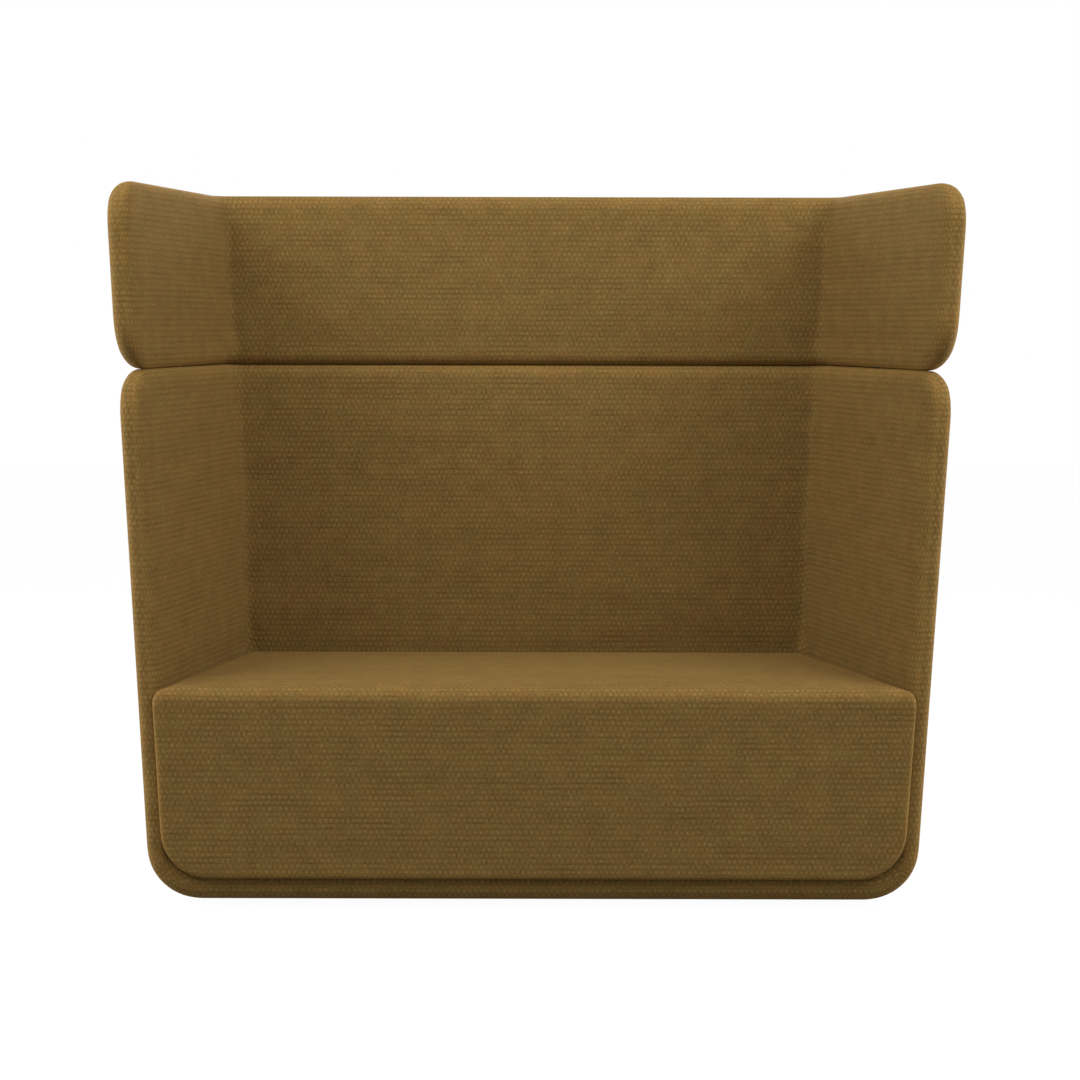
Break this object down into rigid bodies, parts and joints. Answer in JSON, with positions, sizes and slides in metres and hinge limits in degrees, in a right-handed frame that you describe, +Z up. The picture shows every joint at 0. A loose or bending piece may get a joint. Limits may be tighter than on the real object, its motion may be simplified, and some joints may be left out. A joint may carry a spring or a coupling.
{
  "type": "high-back sofa",
  "caption": "High-back sofa: a padded U-shaped shell with splayed sides, a winged collar on top of it and a seat block set into it, on low levelling glides.",
  "frame": {"origin": "on the floor, under the middle of the overall box", "axes": "+X along the seat to the right as seen from the front, +Y from the front to the back, +Z up"},
  "size_m": [1.6506, 0.6963, 1.408],
  "materials": {
    "upholstery": "ribbed woven cloth over fibre wadding",
    "foam": "open-cell foam",
    "webbing": "woven elastic webbing",
    "dust_cloth": "spun black lining cloth",
    "glide_plastic": "moulded, fine matt",
    "black_steel": "black powder coat",
    "zinc_steel": "zinc plated",
    "plywood": "birch plywood, sanded"
  },
  "bodies": {
    "sofa": {"back_belts": "webbing", "back_panel": "plywood", "base_board": "plywood", "collar_back_foam": "foam", "collar_back_panel": "plywood", "collar_cover": "upholstery", "collar_left_foam": "foam", "collar_left_panel": "plywood", "collar_posts": "black_steel", "collar_right_foam": "foam", "collar_right_panel": "plywood", "corner_brackets": "zinc_steel", "cross_belts": "webbing", "dust_cover": "dust_cloth", "front_runner": "plywood", "insert_nuts": "zinc_steel", "post_sleeves": "black_steel", "rear_runner": "plywood", "seat_angles": "zinc_steel", "seat_belts": "webbing", "seat_centre_board": "plywood", "seat_corner_blocks": "plywood", "seat_cover": "upholstery", "seat_foam": "foam", "seat_front_board": "plywood", "seat_front_foam": "foam", "seat_left_board": "plywood", "seat_rear_board": "plywood", "seat_right_board": "plywood", "shell_back_foam": "foam", "shell_cover": "upholstery", "shell_left_foam": "foam", "shell_right_foam": "foam", "shell_rim_foam": "foam", "side_belts": "webbing", "side_panel_left": "plywood", "side_panel_right": "plywood"},
    "glide_front_left": {"glide_foot_front_left": "glide_plastic", "glide_stem_front_left": "zinc_steel"},
    "glide_front_right": {"glide_foot_front_right": "glide_plastic", "glide_stem_front_right": "zinc_steel"},
    "glide_rear_left": {"glide_foot_rear_left": "glide_plastic", "glide_stem_rear_left": "zinc_steel"},
    "glide_rear_right": {"glide_foot_rear_right": "glide_plastic", "glide_stem_rear_right": "zinc_steel"}
  },
  "joints": [
    {"name": "front_left_glide", "type": "slide", "parent": "sofa", "child": "glide_front_left", "axis": [0, 0, -1], "range_m": [0, 0.01]},
    {"name": "front_right_glide", "type": "slide", "parent": "sofa", "child": "glide_front_right", "axis": [0, 0, -1], "range_m": [0, 0.01]},
    {"name": "rear_left_glide", "type": "slide", "parent": "sofa", "child": "glide_rear_left", "axis": [0, 0, -1], "range_m": [0, 0.01]},
    {"name": "rear_right_glide", "type": "slide", "parent": "sofa", "child": "glide_rear_right", "axis": [0, 0, -1], "range_m": [0, 0.01]}
  ]
}
